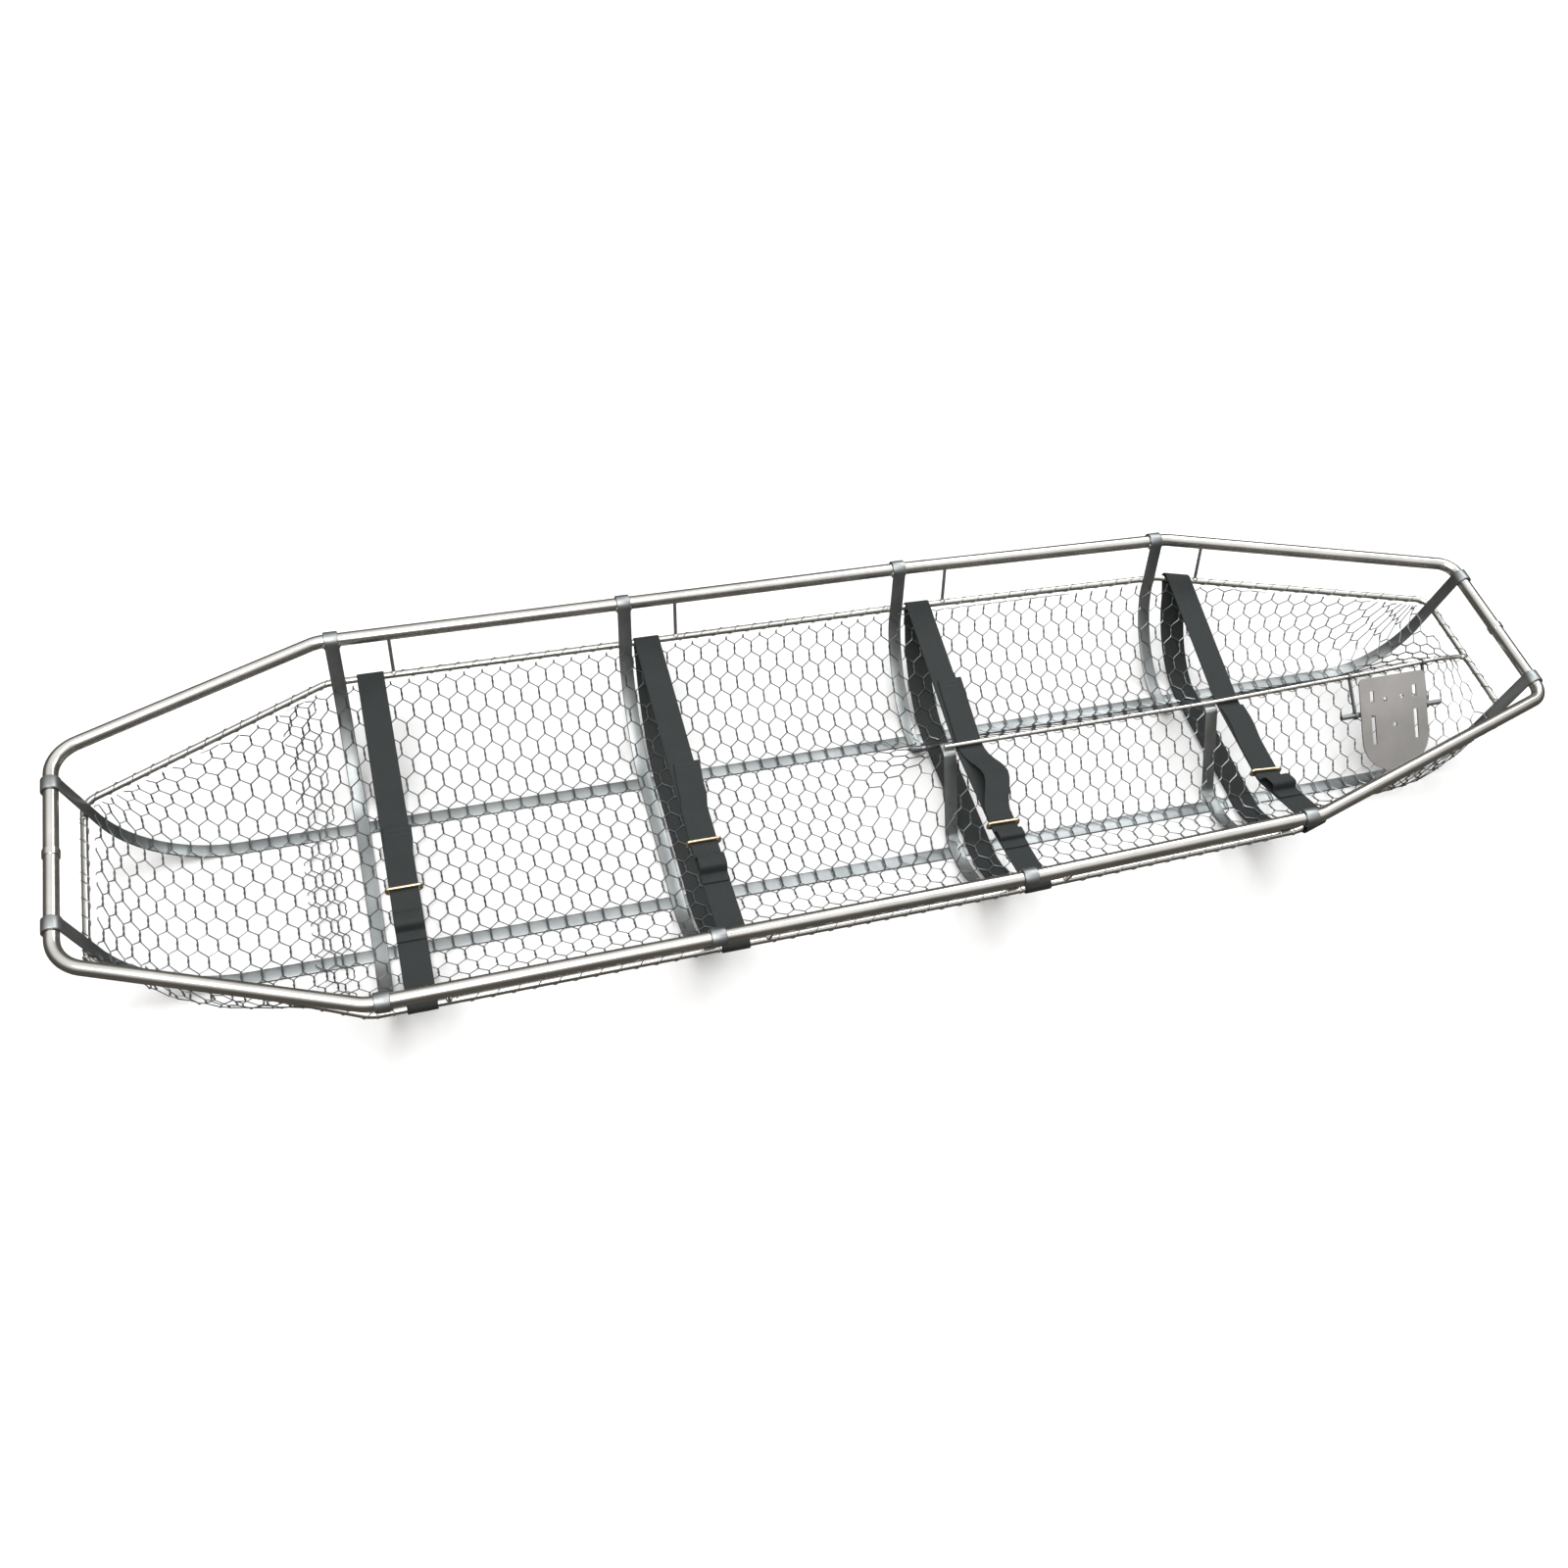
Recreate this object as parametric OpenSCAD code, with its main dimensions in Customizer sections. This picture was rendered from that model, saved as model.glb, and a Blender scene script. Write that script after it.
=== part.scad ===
// Wire basket rescue stretcher with a leg divider, four patient straps and a foot plate.
// Origin: middle of the basket on the surface it stands on. +X runs to the foot end, +Z is up.

/* [Top rail] */
// Half length of the top rail, to its tube's centre line
rail_half_len = 1054; // [1030:1:1080]
// Height of the top rail's centre line above the ground
rail_z = 202; // [195:1:215]
// Outside diameter of the rail tube
rail_od = 19.05; // [18.5:0.05:19.5]
// Wall thickness of the rail tube
rail_wall = 1.65; // [1.2:0.05:2.1]
// Half width of the basket at its widest, near the head
rail_w_head = 292.5; // [285:0.5:300]
// Half width of the rail beside the thighs
rail_w_mid = 286.3; // [280:0.1:292]
// Half width of the rail where it turns in towards the feet
rail_w_foot = 273.3; // [268:0.1:280]
// Half width of the head end's corners
rail_w_head_end = 160; // [150:1:170]
// Half width of the foot end's corners
rail_w_foot_end = 139; // [130:1:150]

/* [Lower rail] */
// Drop from the top rail to the lower rail
lower_drop = 66; // [60:1:72]
// Diameter of the lower rail rod
lower_d = 9.5; // [8:0.5:10]

/* [Ribs and runners] */
// Width of the flat strip
strip_w = 20; // [16:1:24]
// Thickness of the flat strip
strip_t = 3; // [2:0.25:3]
// Distance of the two runners from the middle line
runner_y = 107; // [100:1:112]
// Radius of the runners' bend at the head
head_bend_r = 170; // [150:5:180]
// Radius of the runners' bend at the foot
foot_bend_r = 130; // [110:5:140]

/* [Leg divider] */
// Diameter of the ridge rod between the legs
ridge_d = 7; // [6:0.5:8]

/* [Netting] */
// Thickness of the wire netting where its wires twist together
net_t = 1.6; // [1.2:0.1:1.8]

/* [Straps] */
// Width of the webbing
web_w = 38; // [36:1:40]
// Thickness of the webbing
web_t = 1.6; // [1.2:0.1:1.8]
// Radial gap between the webbing and the lower rail
web_gap = 0.7; // [0.5:0.1:1]
// Extra gap at the foot-end strap, whose loops go round the slanting stretch of the rail
web_slack = 2.4; // [2.4:0.1:3]
// Width of a buckle's opening
buckle_w = 40.5; // [40:0.5:42]
// Diameter of a buckle's bars
buckle_bar = 4; // [3:0.5:4.5]

/* [Foot plate] */
// Width of the foot plate along the basket
plate_w = 118; // [100:1:120]
// Height of the foot plate
plate_h = 148; // [126:1:152]
// Thickness of the foot plate
plate_t = 2.5; // [2:0.5:3]
// Diameter of the bar the foot plate rocks on
pivot_d = 8; // [7:0.5:9]
// Length of that bar
pivot_len = 178; // [172:1:184]

/* [Hidden] */

$fn = 48;
rail_r = rail_od / 2;
lower_r = lower_d / 2;
lower_z = rail_z - lower_drop;
ridge_r = ridge_d / 2;
fit_gap = 0.15;

// Ribs, counted from the head
rib_x = [-686, -271, 155, 583];

// Plan of the top rail's far half as corner points, with each corner's bend radius
rail_plan = [
    [-rail_half_len, 0], [-rail_half_len, rail_w_head_end], [-706, rail_w_head],
    [rib_x[2], rail_w_mid], [603, rail_w_foot], [rail_half_len, rail_w_foot_end],
    [rail_half_len, 0]
];
rail_bends = [0, 50, 60, 400, 60, 30, 0];

// Plan of the lower rail's far half: it lies outside the strips all round
lower_inset = 20.4;
lower_head_x = -1030;
lower_foot_x = 1034.8;
lower_plan = [
    [lower_head_x, 0], [lower_head_x, 124], [-703, rail_w_head - lower_inset],
    [rib_x[2], rail_w_mid - lower_inset], [600, rail_w_foot - lower_inset + 1],
    [lower_foot_x, 126], [lower_foot_x, 0]
];
lower_bends = [0, 25, 55, 400, 55, 25, 0];

// A strip's centre line stands off the rail's centre by this much where it hooks over it
hook_r = rail_r + fit_gap + strip_t / 2;
// and off the lower rail's centre by this much where it passes inside it
strip_stand = lower_r + fit_gap + strip_t / 2 + 0.75;

// Slant of the runners at the two ends, from the vertical
head_slant = 17.75;
foot_slant = 14.05;

// Half width of the flat floor between the curved sides
floor_half = 118;
// How full the curve of the sides is: 2 is an ellipse, more is squarer
side_fullness = 1.57;
end_fullness = 5;

// Ridge rod's height above the ground along the basket
ridge_line = [
    [rib_x[2] - 6, rail_z - 80], [rib_x[3], rail_z - 77], [863, rail_z - 65],
    [974, rail_z - 57], [lower_foot_x - 12, rail_z - 61]
];

// Straps: how far each lies from its rib, and how far its two plies dip at the middle
strap_x = [rib_x[0] + 45, rib_x[1] + 33, rib_x[2] + 36, rib_x[3] + 49];
strap_dip = [5, 6, 27, 24];
tail_start_y = [2, 34, 118, -12];
buckle_y = [-98, -104, -154, -146];
keeper_offset = 78;

// ---- Plain geometry helpers ----
function unit(v) = v / norm(v);
function turn_at(p, i) =
    let (a = p[i] - p[i - 1], b = p[i + 1] - p[i])
    atan2(a.x * b.y - a.y * b.x, a * b);
function trim_at(p, r, i) =
    i == 0 || i == len(p) - 1 ? 0 : r[i] * tan(abs(turn_at(p, i)) / 2);
function arc_points(c, r, from, to, n) =
    [for (k = [0 : n]) c + r * [cos(from + (to - from) * k / n), sin(from + (to - from) * k / n)]];

// Points along a path whose corners are rounded, n steps to each bend
function bend_points(p, r, i, n) =
    let (t = turn_at(p, i), s = sign(t), u = unit(p[i] - p[i - 1]), side = s * [-u.y, u.x],
         c = p[i] - u * trim_at(p, r, i) + side * r[i], start = atan2(-side.y, -side.x))
    arc_points(c, r[i], start, start + t, n);
function round_path(p, r, n) = [
    for (i = [0 : len(p) - 1])
        each (i == 0 || i == len(p) - 1 || r[i] == 0 ? [p[i]] : bend_points(p, r, i, n))
];

// A path moved sideways by d
function path_side(p, i) =
    let (a = unit(p[min(i + 1, len(p) - 1)] - p[max(i - 1, 0)])) [-a.y, a.x];
function shift_path(p, d) = [for (i = [0 : len(p) - 1]) p[i] + d * path_side(p, i)];
function ribbon_outline(p, t) =
    let (a = shift_path(p, t / 2), b = shift_path(p, -t / 2))
    concat(a, [for (i = [len(b) - 1 : -1 : 0]) b[i]]);

// ---- Shape of the basket ----
function rail_w(x) = lookup(x, [for (p = [for (i = [1 : 5]) rail_plan[i]]) [p.x, p.y]]);
function lower_w(x) = lookup(x, [for (p = [for (i = [1 : 5]) lower_plan[i]]) [p.x, p.y]]);
function ridge_z(x) = lookup(x, ridge_line);

// Height of a runner's centre line at x
runner_floor = strip_t / 2;
function bend_trim(r, slant) = r * tan((90 - slant) / 2);
head_corner_x = -rail_half_len + hook_r + (rail_z - runner_floor) * tan(head_slant);
foot_corner_x = rail_half_len - hook_r - (rail_z - runner_floor) * tan(foot_slant);
function end_rise(d, r, slant) =
    let (trim = bend_trim(r, slant))
    d <= 0 ? 0
    : d < trim + trim * sin(slant) ? r - sqrt(r * r - d * d)
    : (d - trim) / tan(slant);
function runner_z(x) =
    runner_floor + (x < 0
        ? end_rise(head_corner_x + bend_trim(head_bend_r, head_slant) - x, head_bend_r, head_slant)
        : end_rise(x - foot_corner_x + bend_trim(foot_bend_r, foot_slant), foot_bend_r, foot_slant));

// The sides curve from beside the lower rail down to the flat floor.
// inset moves the whole section inwards from the ribs' centre line.
function end_blend(x) = max(0, min(1, (abs(x) - 700) / 300));
function fullness(x) = side_fullness + (end_fullness - side_fullness) * pow(end_blend(x), 2);
function half_floor(x) = min(floor_half, 0.75 * lower_w(x));
function side_point(x, a, inset, floor_z) =
    let (w = lower_w(x) - strip_stand - inset, q = 2 / fullness(x), f = half_floor(x))
    [f + (w - f) * pow(cos(a), q), lower_z - 2 - (lower_z - 2 - floor_z) * pow(sin(a), q)];

// ---- Bent rods and tubes: a round section swept along a path in one plane ----
// The section's corners lie on the circle, so a bore is cut a little under its true size.
module swept_rod(path, r, sides, over = 0) {
    last = len(path) - 1;
    function station(i) =
        i == 0 ? path[0] - over * unit(path[1] - path[0])
        : i == last ? path[last] + over * unit(path[last] - path[last - 1])
        : path[i];
    function widen(i) = i == 0 || i == last ? 1 : 1 / cos(turn_at(path, i) / 2);
    polyhedron(
        points = [for (i = [0 : last]) each [for (k = [0 : sides - 1])
            let (p = station(i), s = path_side(path, i) * widen(i) * r * cos(360 * k / sides))
            [p.x + s.x, p.y + s.y, r * sin(360 * k / sides)]]],
        faces = concat(
            [[for (k = [0 : sides - 1]) k]],
            [for (i = [0 : last - 1]) each [for (k = [0 : sides - 1])
                let (a = i * sides + k, b = i * sides + (k + 1) % sides)
                [a, a + sides, b + sides, b]]],
            [[for (k = [sides - 1 : -1 : 0]) last * sides + k]]),
        convexity = 6);
}
rail_sides = 20;
rod_sides = 12;
bend_steps = 6;
module rail_half() {
    path = round_path(rail_plan, rail_bends, bend_steps);
    translate([0, 0, rail_z]) difference() {
        swept_rod(path, rail_r, rail_sides);
        swept_rod(path, rail_r - rail_wall, rail_sides, 1);
    }
}
module lower_half() {
    translate([0, 0, lower_z])
        swept_rod(round_path(lower_plan, lower_bends, bend_steps), lower_r, rod_sides);
}
module spigot(x) {
    spigot_len = 60;
    translate([x, 0, rail_z]) rotate([90, 0, 0])
        cylinder(r = rail_r - rail_wall - 0.25, h = spigot_len, center = true);
}
module joint_ring(x) {
    ring_len = 9;
    ring_t = 1.5;
    translate([x, 0, rail_z]) rotate([90, 0, 0]) difference() {
        cylinder(r = rail_r + 0.05 + ring_t, h = ring_len, center = true);
        cylinder(r = rail_r + 0.05, h = ring_len + 2, center = true);
    }
}

// ---- Flat strips ----
module across(w) { rotate([90, 0, 90]) linear_extrude(height = w, center = true) children(); }
module along(w) { rotate([90, 0, 0]) linear_extrude(height = w, center = true) children(); }

hook_tip = -25;
side_steps = 14;
function rib_side(x) = [
    for (k = [0 : side_steps]) side_point(x, 90 * k / side_steps, 0, strip_t * 1.5)
];
function rib_half_path(x) =
    concat(arc_points([rail_w(x), rail_z], hook_r, hook_tip, 180, 16), rib_side(x));
function mirror_path(p) = [for (i = [len(p) - 1 : -1 : 0]) [-p[i].x, p[i].y]];

module flat_rib(x) {
    half = rib_half_path(x);
    color("gray") translate([x, 0, 0]) across(strip_w)
        polygon(ribbon_outline(concat(half, mirror_path(half)), strip_t));
}
// The two foot-end ribs rise between the legs to carry the ridge rod
module humped_rib(x) {
    trough = 92;
    top = ridge_z(x) - ridge_r - strip_t / 2 - 0.2;
    hump = round_path([[trough + 14, strip_t * 1.5], [trough - 10, strip_t * 1.5], [10, top], [0, top]],
        [0, 14, 8, 0], 5);
    half = concat(rib_half_path(x), hump);
    other = mirror_path(half);
    color("gray") translate([x, 0, 0]) across(strip_w)
        polygon(ribbon_outline(concat(half, [for (i = [1 : len(other) - 1]) other[i]]), strip_t));
}
module runner(side) {
    head_x = -rail_half_len + hook_r;
    foot_x = rail_half_len - hook_r;
    path = concat(
        arc_points([-rail_half_len, rail_z], hook_r, 180 - hook_tip, 0, 16),
        round_path([[head_x, rail_z - 2], [head_corner_x, runner_floor],
            [foot_corner_x, runner_floor], [foot_x, rail_z - 2]],
            [0, head_bend_r, foot_bend_r, 0], 14),
        arc_points([rail_half_len, rail_z], hook_r, 180, hook_tip, 16));
    color("gray") translate([0, side * runner_y, 0]) along(strip_w)
        polygon(ribbon_outline(path, strip_t));
}

// Thin rods that stop each strap from sliding along the lower rail
module keepers(side) {
    keeper_r = 2.5;
    color("silver") for (x0 = rib_x) {
        x = x0 + keeper_offset;
        top = [x, side * rail_w(x), rail_z];
        low = [x, side * lower_w(x), lower_z];
        u = unit(low - top);
        translate(top + u * (rail_r + 0.05))
            rotate([atan2(-u.y, u.z), 0, 0])
            cylinder(r = keeper_r, h = norm(low - top) - rail_r - lower_r - 0.1);
    }
}

// ---- Netting: flat panels laid along the section, edge to edge ----
net_floor = strip_t * 1.5 + 2;
net_inset = 2.9;
side_angles = [3, 30, 58];
ridge_drop = 10;
hump_foot = 96;
end_clear = 3.5;
function net_floor_z(x) = net_floor + runner_z(x + sign(x) * end_clear) - runner_floor;
function hump_share(x) = max(0, min(1, (x - 30) / (rib_x[2] - 30)));
function crest_z(x) =
    net_floor_z(x) + (ridge_z(x) - ridge_drop - net_floor_z(x)) * hump_share(x);
// Points of the net's section on the far side, from the lower rail to the middle
function net_half(x) = concat(
    [for (a = side_angles) side_point(x, a, net_inset, net_floor_z(x))],
    [[min(hump_foot, half_floor(x) - 4), net_floor_z(x)], [4, crest_z(x)]]);
function net_row(x) = let (h = net_half(x)) [
    for (p = concat(h, mirror_path(h))) [x, p.x, p.y]
];
module net_panel(a, b, c, d) {
    edge_gap = 1;
    n = unit(cross(c - a, b - a)) * net_t / 2;
    in = [
        a + edge_gap * (unit(b - a) + unit(c - a)), b + edge_gap * (unit(a - b) + unit(d - b)),
        c + edge_gap * (unit(d - c) + unit(a - c)), d + edge_gap * (unit(c - d) + unit(b - d))
    ];
    hull() polyhedron(
        points = concat([for (p = in) p + n], [for (p = in) p - n]),
        faces = [[0, 1, 3], [0, 3, 2], [4, 7, 5], [4, 6, 7], [0, 4, 5], [0, 5, 1],
                 [1, 5, 7], [1, 7, 3], [3, 7, 6], [3, 6, 2], [2, 6, 4], [2, 4, 0]]);
}
module net_span(stations) {
    color("lightgray") for (i = [0 : len(stations) - 2]) {
        r0 = net_row(stations[i]);
        r1 = net_row(stations[i + 1]);
        for (k = [0 : len(r0) - 2]) net_panel(r0[k], r0[k + 1], r1[k], r1[k + 1]);
    }
}
rib_clear = strip_w / 2 + 1.5;

// ---- Leg divider and foot plate ----
module ridge_rod() {
    color("silver") rotate([90, 0, 0]) swept_rod(ridge_line, ridge_r, rod_sides);
}

pivot_x = 886;
pivot_y = -51;
pivot_z = 100;
plate_tilt = 43;
hanger_out = 64;
module pivot_bar() {
    color("gray") translate([pivot_x, pivot_y, pivot_z]) rotate([0, 90, 0])
        cylinder(d = pivot_d, h = pivot_len, center = true);
}
module pivot_hanger(x) {
    hanger_t = 3;
    rim = 2.5;
    stem_r = 2.5;
    color("gray") translate([x, 0, 0]) across(hanger_t) difference() {
        union() {
            translate([0, ridge_z(x)]) circle(r = ridge_r + rim);
            translate([pivot_y, pivot_z]) circle(r = pivot_d / 2 + rim);
            hull() {
                translate([0, ridge_z(x)]) circle(r = stem_r);
                translate([pivot_y, pivot_z]) circle(r = stem_r);
            }
        }
        translate([0, ridge_z(x)]) circle(r = ridge_r + 0.6);
        translate([pivot_y, pivot_z]) circle(r = pivot_d / 2 + 0.05);
    }
}
module foot_plate() {
    above = 56;
    below = plate_h - above;
    corner_r = 8;
    heel_r = 50;
    lug_r = pivot_d / 2 + 2.5;
    lug_w = 12;
    slot_w = 7;
    color("darkgray") translate([pivot_x, pivot_y, pivot_z]) {
        rotate([plate_tilt, 0, 0]) translate([0, 0, lug_r])
            linear_extrude(height = plate_t) difference() {
                hull() {
                    for (s = [-1, 1]) {
                        translate([s * (plate_w / 2 - corner_r), above - corner_r])
                            circle(r = corner_r);
                        translate([s * (plate_w / 2 - heel_r), heel_r - below]) circle(r = heel_r);
                    }
                }
                for (s = [-1, 1]) {
                    translate([s * 38, 26]) square([slot_w, 18], center = true);
                    translate([s * 38, -26]) square([slot_w, 46], center = true);
                    translate([s * 15, 20]) circle(r = 3.5);
                }
                translate([0, -22]) circle(r = 3.5);
            }
        for (s = [-1, 1]) translate([s * 30, 0, 0]) difference() {
            union() {
                rotate([0, 90, 0]) cylinder(r = lug_r, h = lug_w, center = true);
                rotate([plate_tilt, 0, 0]) translate([-lug_w / 2, -lug_r, 0])
                    cube([lug_w, 2 * lug_r, lug_r]);
            }
            rotate([0, 90, 0]) cylinder(r = pivot_d / 2 + 0.08, h = lug_w + 2, center = true);
        }
    }
}

// ---- Straps: each is one loop round both lower rails, doubled where its tail returns ----
function loop_r(n) = lower_r + web_gap + (n == 3 ? web_slack : 0) + web_t / 2;
function upper_path(n, x) =
    let (w = lower_w(x), r = loop_r(n), top = lower_z + r)
    concat(
        arc_points([w, lower_z], r, 4, 84, 6),
        round_path([[w - 2, top], [0, top - strap_dip[n]],
            [lean_y(n), top - strap_dip[n] - lean_y(n) * strap_dip[n] / (w - 2)], [2 - w, top]],
            [0, strap_dip[n] > 10 ? 60 : 900, 0, 0], 8),
        arc_points([-w, lower_z], r, 96, 176, 6));
under_z = strip_t + 0.5 + web_t / 2;
function under_half(n, x) = concat(
    arc_points([lower_w(x), lower_z], loop_r(n), -4, -70, 6),
    [for (k = [3 : side_steps])
        side_point(x, 90 * k / side_steps, n == 3 ? -web_slack : 0, under_z)]);
function under_path(n, x) = let (h = under_half(n, x)) concat(h, mirror_path(h));

// Height of the upper ply at y
function ply_slope(n) = strap_dip[n] / (lower_w(strap_x[n]) - 2);
function ply_z(n, y) = lower_z + loop_r(n) - strap_dip[n] + abs(y) * ply_slope(n);
function ply_angle(n) = -atan(ply_slope(n));
ply_rise = web_t + 0.6;

// Each strap leans toward the head end, most at a point just beyond its buckle
strap_lean = [0, 3, 9, 30];
lean_past = 10;
function lean_y(n) = buckle_y[n] - lean_past;
function lean_slope(n) = strap_lean[n] / (lower_w(strap_x[n]) - lean_y(n));
function lean(n, y) =
    is_undef(n) ? 0
    : let (w = lower_w(strap_x[n]))
    y < lean_y(n) ? -strap_lean[n] * max(0, y + w) / (lean_y(n) + w)
        : -lean_slope(n) * max(0, w - y);
function tail_path(n) =
    let (b = buckle_y[n], s = tail_start_y[n], h = ply_rise)
    [for (p = round_path([[s, h], [min(0, s - 1), h], [b - 10, h], [b - 24, h + 11], [b - 44, h + 11], [b - 50, h], [b - 62, h]],
        [0, 0, 8, 7, 7, 4, 0], 5)) [p.x, ply_z(n, p.x) + p.y]];

// A ribbon whose two edges follow two paths, for webbing that crosses a rail at a slant
module ribbon(pa, pb, xa, xb, t, leaning) {
    a = ribbon_outline(pa, t);
    b = ribbon_outline(pb, t);
    n = len(a);
    m = len(pa);
    function cap(o, flip) = [
        for (i = [0 : m - 2]) each (flip
            ? [[o + i, o + n - 1 - i, o + i + 1], [o + i + 1, o + n - 1 - i, o + n - 2 - i]]
            : [[o + i, o + i + 1, o + n - 1 - i], [o + i + 1, o + n - 2 - i, o + n - 1 - i]])
    ];
    polyhedron(
        points = concat([for (p = a) [xa + lean(leaning, p.x), p.x, p.y]],
            [for (p = b) [xb + lean(leaning, p.x), p.x, p.y]]),
        faces = concat(cap(0, false), cap(n, true),
            [for (i = [0 : n - 1]) each [
                [i, n + i, (i + 1) % n], [(i + 1) % n, n + i, n + (i + 1) % n]]]),
        convexity = 6);
}
module web(n, part) {
    xa = strap_x[n] - web_w / 2;
    xb = strap_x[n] + web_w / 2;
    color("darkslategray") {
        if (part == "upper") ribbon(upper_path(n, xa), upper_path(n, xb), xa, xb, web_t, n);
        if (part == "under") ribbon(under_path(n, xa), under_path(n, xb), xa, xb, web_t);
        if (part == "tail") ribbon(tail_path(n), tail_path(n), xa, xb, web_t, n);
    }
}
// Flat ring that both plies pass through
module buckle(n) {
    height = ply_rise + web_t + 1.2;
    bar_len = 5;
    y = buckle_y[n];
    color("goldenrod") translate([strap_x[n] + lean(n, y), y, ply_z(n, y) + ply_rise / 2])
        rotate([90 + ply_angle(n), 0, -atan(lean_slope(n))])
        linear_extrude(height = bar_len, center = true) difference() {
            square([buckle_w + 2 * buckle_bar, height + 2 * buckle_bar], center = true);
            square([buckle_w, height], center = true);
        }
}

color("silver") rail_half();  // rail_far
color("silver") mirror([0, 1, 0]) rail_half();  // rail_near
color("gray") spigot(-rail_half_len);  // head_spigot
color("gray") spigot(rail_half_len);  // foot_spigot
color("silver") joint_ring(-rail_half_len);  // head_joint_ring
color("silver") joint_ring(rail_half_len);  // foot_joint_ring
color("silver") lower_half();  // lower_rail_far
color("silver") mirror([0, 1, 0]) lower_half();  // lower_rail_near
flat_rib(rib_x[0]);  // rib_1
flat_rib(rib_x[1]);  // rib_2
humped_rib(rib_x[2]);  // rib_3
humped_rib(rib_x[3]);  // rib_4
runner(1);  // runner_far
runner(-1);  // runner_near
keepers(1);  // keepers_far
keepers(-1);  // keepers_near
net_span([-1014, -1004, -985, -940, -870, -780, rib_x[0] - rib_clear]);  // net_head
net_span([rib_x[0] + rib_clear, rib_x[1] - rib_clear]);  // net_bay_1
net_span([rib_x[1] + rib_clear, 20, rib_x[2] - rib_clear]);  // net_bay_2
net_span([rib_x[2] + rib_clear, rib_x[3] - rib_clear]);  // net_bay_3
net_span([rib_x[3] + rib_clear, 780, 880, 950, 990, 1008, 1019]);  // net_foot
ridge_rod();
pivot_hanger(pivot_x - hanger_out);  // pivot_hanger_1
pivot_hanger(pivot_x + hanger_out);  // pivot_hanger_2
pivot_bar();
foot_plate();
web(0, "upper");  // strap_1_upper
web(0, "tail");  // strap_1_tail
web(0, "under");  // strap_1_under
buckle(0);  // buckle_1
web(1, "upper");  // strap_2_upper
web(1, "tail");  // strap_2_tail
web(1, "under");  // strap_2_under
buckle(1);  // buckle_2
web(2, "upper");  // strap_3_upper
web(2, "tail");  // strap_3_tail
web(2, "under");  // strap_3_under
buckle(2);  // buckle_3
web(3, "upper");  // strap_4_upper
web(3, "tail");  // strap_4_tail
web(3, "under");  // strap_4_under
buckle(3);  // buckle_4
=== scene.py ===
"""Looks of a wire basket rescue stretcher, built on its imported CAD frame.

Metres, in the frame of part.scad: +X to the foot end, +Z up, origin on the ground in the middle.
Each CAD strip, rod, netting panel and strap is replaced by a finer mesh in the same place.
"""
import math

import bpy
import numpy as np
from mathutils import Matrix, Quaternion, Vector


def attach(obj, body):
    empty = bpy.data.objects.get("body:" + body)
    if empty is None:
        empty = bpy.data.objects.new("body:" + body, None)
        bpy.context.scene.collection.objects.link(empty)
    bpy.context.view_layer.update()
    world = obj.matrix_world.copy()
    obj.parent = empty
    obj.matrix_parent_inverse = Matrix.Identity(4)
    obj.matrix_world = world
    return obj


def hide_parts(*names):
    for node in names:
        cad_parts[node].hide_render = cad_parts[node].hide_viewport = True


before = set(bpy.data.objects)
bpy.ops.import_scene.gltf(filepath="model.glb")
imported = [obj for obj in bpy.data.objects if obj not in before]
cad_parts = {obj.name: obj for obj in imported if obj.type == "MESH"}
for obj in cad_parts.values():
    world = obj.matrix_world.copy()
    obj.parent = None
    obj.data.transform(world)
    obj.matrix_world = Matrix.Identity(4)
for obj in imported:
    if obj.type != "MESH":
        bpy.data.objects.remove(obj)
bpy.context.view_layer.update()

MM = 0.001

# ---------------------------------------------------------------- sizes, as in part.scad
RAIL_HALF_LEN = 1054 * MM
RAIL_Z = 202 * MM
RAIL_R = 19.05 / 2 * MM
LOWER_R = 9.5 / 2 * MM
LOWER_Z = RAIL_Z - 66 * MM
STRIP_W = 20 * MM
STRIP_T = 3 * MM
RUNNER_Y = 107 * MM
HEAD_BEND_R = 170 * MM
FOOT_BEND_R = 130 * MM
HEAD_SLANT = math.radians(17.75)
FOOT_SLANT = math.radians(14.05)
RIDGE_R = 3.5 * MM
RIB_X = [-686 * MM, -271 * MM, 155 * MM, 583 * MM]
RAIL_PLAN = np.array([
    [-1054, 0], [-1054, 160], [-706, 292.5], [155, 286.3], [603, 273.3], [1054, 139], [1054, 0],
]) * MM
RAIL_BENDS = np.array([0, 50, 60, 400, 60, 30, 0]) * MM
LOWER_PLAN = np.array([
    [-1030, 0], [-1030, 124], [-703, 272.1], [155, 265.9], [600, 253.9], [1034.8, 126], [1034.8, 0],
]) * MM
LOWER_BENDS = np.array([0, 25, 55, 400, 55, 25, 0]) * MM
RIDGE_LINE = np.array([[149, 122], [583, 125], [863, 137], [974, 145], [1022.8, 141]]) * MM

FIT_GAP = 0.15 * MM
HOOK_R = RAIL_R + FIT_GAP + STRIP_T / 2
STRIP_STAND = LOWER_R + 0.9 * MM + STRIP_T / 2
FLOOR_HALF = 118 * MM
SIDE_FULLNESS = 1.57
END_FULLNESS = 5.0
# The flat floor's share of the width where the basket narrows
FLOOR_SHARE = 0.75
# Where along the basket the sides start to grow fuller toward the ends, and over what length
FULLER_FROM = 0.7
FULLER_OVER = 0.3
KEEPER_OFFSET = 78 * MM

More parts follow.
